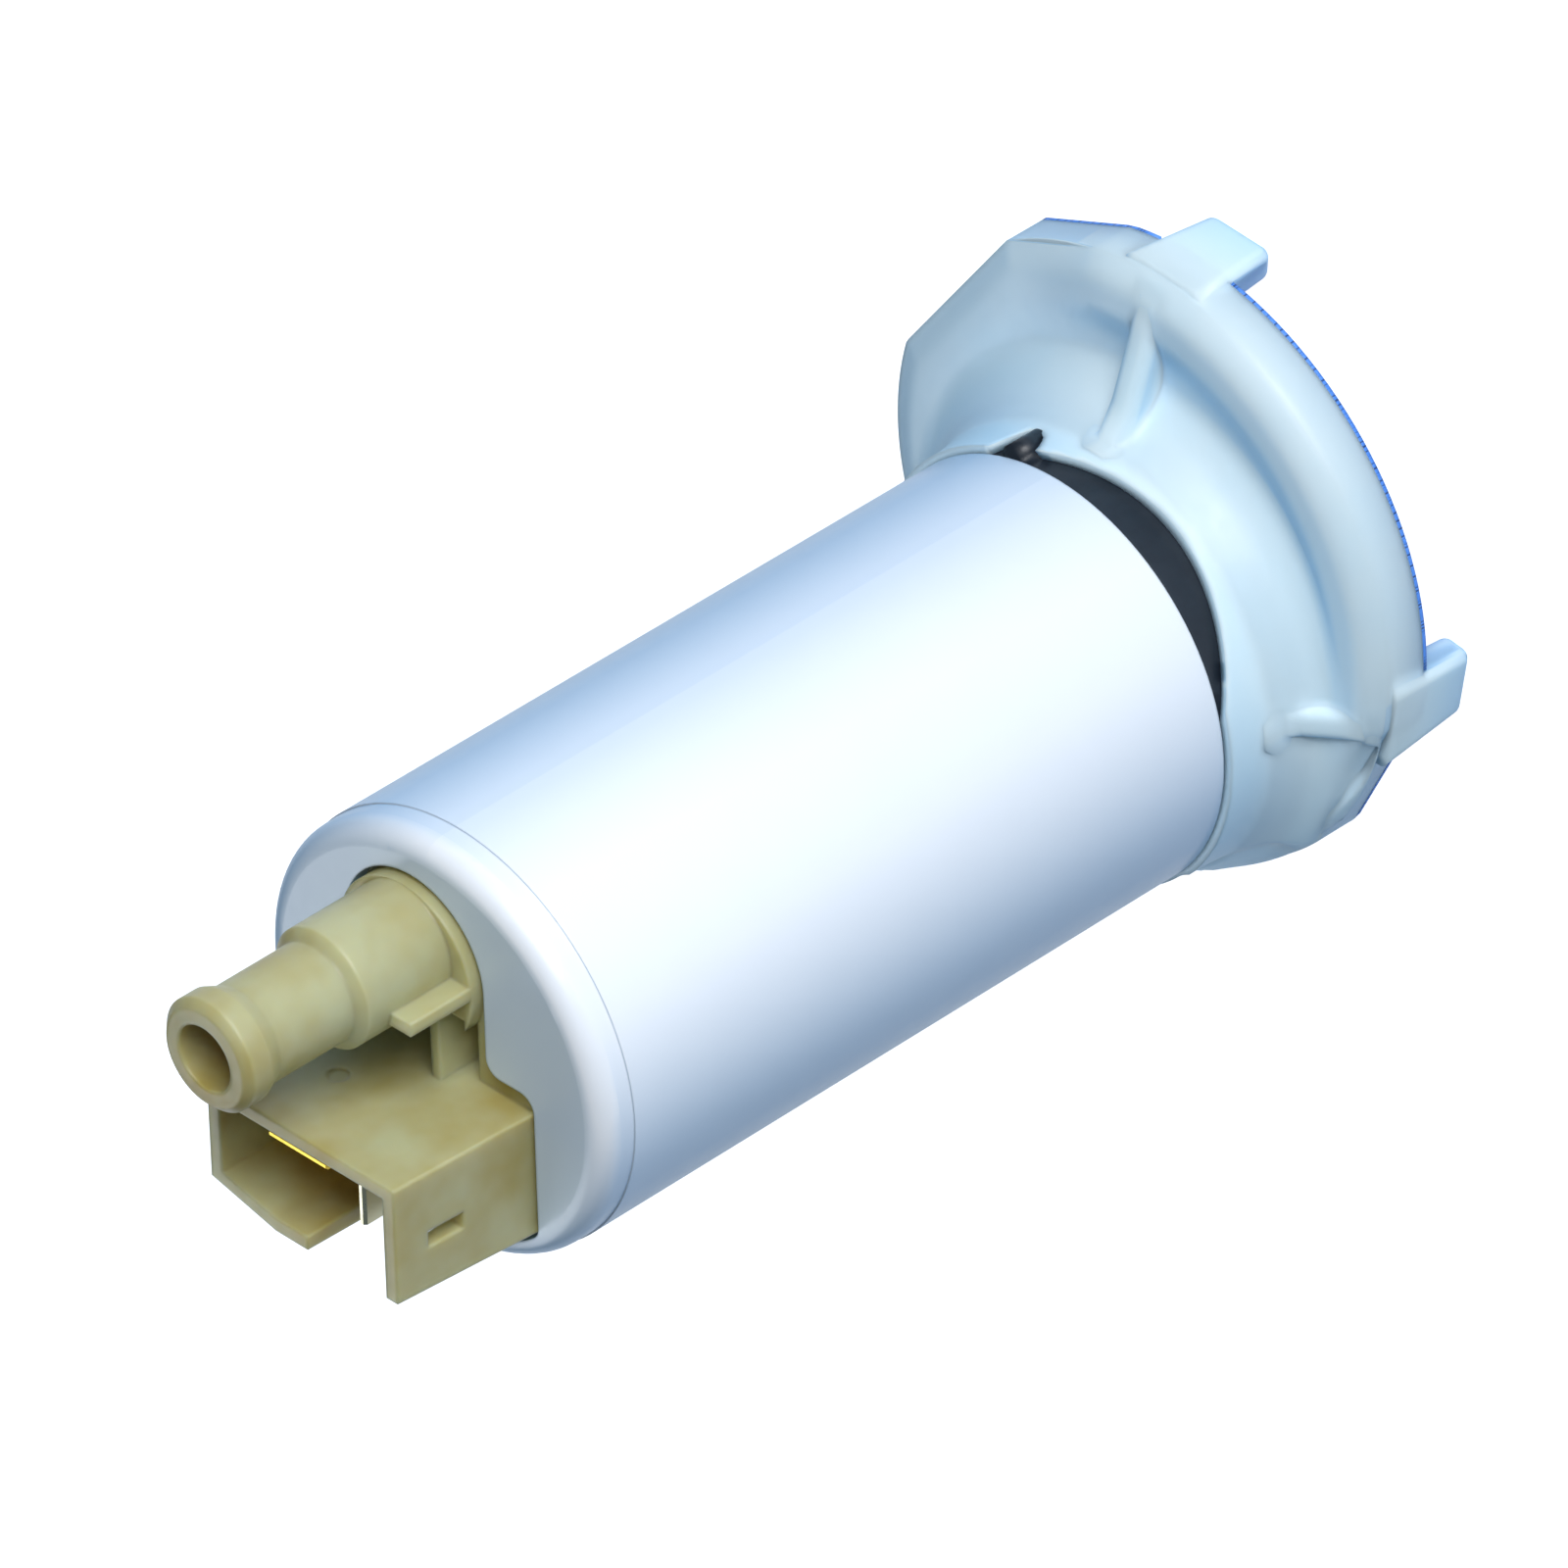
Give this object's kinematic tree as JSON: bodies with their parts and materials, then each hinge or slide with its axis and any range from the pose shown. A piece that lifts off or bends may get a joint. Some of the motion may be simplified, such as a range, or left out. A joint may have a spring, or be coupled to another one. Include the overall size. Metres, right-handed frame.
{
  "type": "electric fuel pump",
  "caption": "In-tank electric fuel pump: cylindrical white sleeve, moulded end cap with hose nipple and blade connector, off-centre strainer cup on feet.",
  "frame": {"origin": "on the motor axis, at the lower edge of the white sleeve", "axes": "+Z along the motor axis towards the outlet tip, +X towards the outlet nipple, square to the back wall of the connector"},
  "size_m": [0.055, 0.055, 0.1103],
  "materials": {
    "white_plastic": "smooth semi-gloss moulding",
    "cup_plastic": "slightly translucent moulding",
    "aged_nylon": "aged translucent natural nylon",
    "brass_blade": "bright stamped blade",
    "plated_blade": "tin plated stamped blade",
    "black_rubber": "satin",
    "filter_mesh": "fine woven nylon",
    "zinc_steel": "zinc plated",
    "spring_steel": "drawn wire and strip",
    "ground_steel": "ground",
    "core_steel": "stacked sheet, lacquered",
    "copper_wire": "enamelled copper",
    "copper_disc": "turned copper",
    "ferrite": "sintered",
    "carbon": "pressed carbon",
    "brass_part": "drawn and turned brass",
    "bronze": "sintered bronze",
    "dark_plastic": "glass filled moulding",
    "cast_aluminium": "die cast",
    "valve_plastic": "moulded"
  },
  "bodies": {
    "housing": {"sleeve": "white_plastic", "base_cup": "cup_plastic", "end_cap": "aged_nylon", "terminal_a": "brass_blade", "terminal_b": "plated_blade", "isolator_ring": "black_rubber", "cap_seal": "black_rubber", "pump_seal": "black_rubber", "strainer_mesh": "filter_mesh", "motor_casing": "zinc_steel", "magnet_clip_a": "spring_steel", "magnet_clip_b": "spring_steel", "thrust_pin": "ground_steel", "relief_spring": "spring_steel", "check_spring": "spring_steel", "brush_spring_a": "spring_steel", "brush_spring_b": "spring_steel", "choke_coil_a": "copper_wire", "choke_coil_b": "copper_wire", "magnet_a": "ferrite", "magnet_b": "ferrite", "choke_core_a": "ferrite", "choke_core_b": "ferrite", "brush_guide_a": "brass_part", "brush_guide_b": "brass_part", "valve_seat": "brass_part", "relief_plug": "brass_part", "upper_bearing": "bronze", "lower_bearing": "bronze", "pump_housing": "cast_aluminium", "pump_cover": "dark_plastic"},
    "rotor": {"shaft": "ground_steel", "armature_core": "core_steel", "armature_windings": "copper_wire", "commutator": "copper_disc", "impeller": "dark_plastic", "thrust_washer": "ground_steel"},
    "brush_a": {"brush_a": "carbon"},
    "brush_b": {"brush_b": "carbon"},
    "outlet_valve": {"check_valve": "valve_plastic"},
    "relief_valve": {"relief_ball": "ground_steel"}
  },
  "joints": [
    {"name": "rotor_spin", "type": "hinge", "parent": "housing", "child": "rotor", "pos_m": [0, 0, 0], "axis": [0, 0, 1], "continuous": true},
    {"name": "brush_a_slide", "type": "slide", "parent": "housing", "child": "brush_a", "axis": [0, 0, 1], "range_m": [0, 0.003], "stiffness_N_per_m": 300, "springref_m": -0.002, "deforming": ["brush_spring_a"]},
    {"name": "brush_b_slide", "type": "slide", "parent": "housing", "child": "brush_b", "axis": [0, 0, 1], "range_m": [0, 0.003], "stiffness_N_per_m": 300, "springref_m": -0.002, "deforming": ["brush_spring_b"]},
    {"name": "outlet_valve_lift", "type": "slide", "parent": "housing", "child": "outlet_valve", "axis": [0, 0, 1], "range_m": [0, 0.0025], "stiffness_N_per_m": 120, "springref_m": -0.002, "deforming": ["check_spring"]},
    {"name": "relief_valve_drop", "type": "slide", "parent": "housing", "child": "relief_valve", "axis": [0, 0, -1], "range_m": [0, 0.0012], "stiffness_N_per_m": 600, "springref_m": -0.002, "deforming": ["relief_spring"]}
  ]
}
